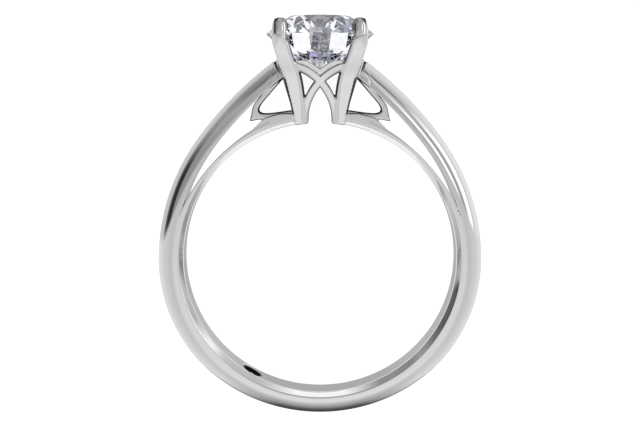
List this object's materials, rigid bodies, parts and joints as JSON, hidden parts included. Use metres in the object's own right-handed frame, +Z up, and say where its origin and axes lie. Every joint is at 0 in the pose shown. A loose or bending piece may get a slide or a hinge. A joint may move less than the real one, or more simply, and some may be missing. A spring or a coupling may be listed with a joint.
{
  "type": "solitaire ring mounting",
  "caption": "Cathedral solitaire ring: a half-round shank, split shoulders and a four-prong basket of crossing arches holding a round brilliant, lying on its side.",
  "frame": {"origin": "middle of the finger hole", "axes": "+Z up from the surface the ring lies on, 5.39 degrees from the finger hole's axis; +Y along the surface towards the stone; +X to the right, seen from above"},
  "size_m": [0.0198, 0.0245, 0.0064],
  "materials": {
    "platinum": "mirror polished",
    "diamond": "polished facets, colourless"
  },
  "bodies": {
    "root": {"mounting": "platinum", "center_stone": "diamond"}
  },
  "joints": []
}
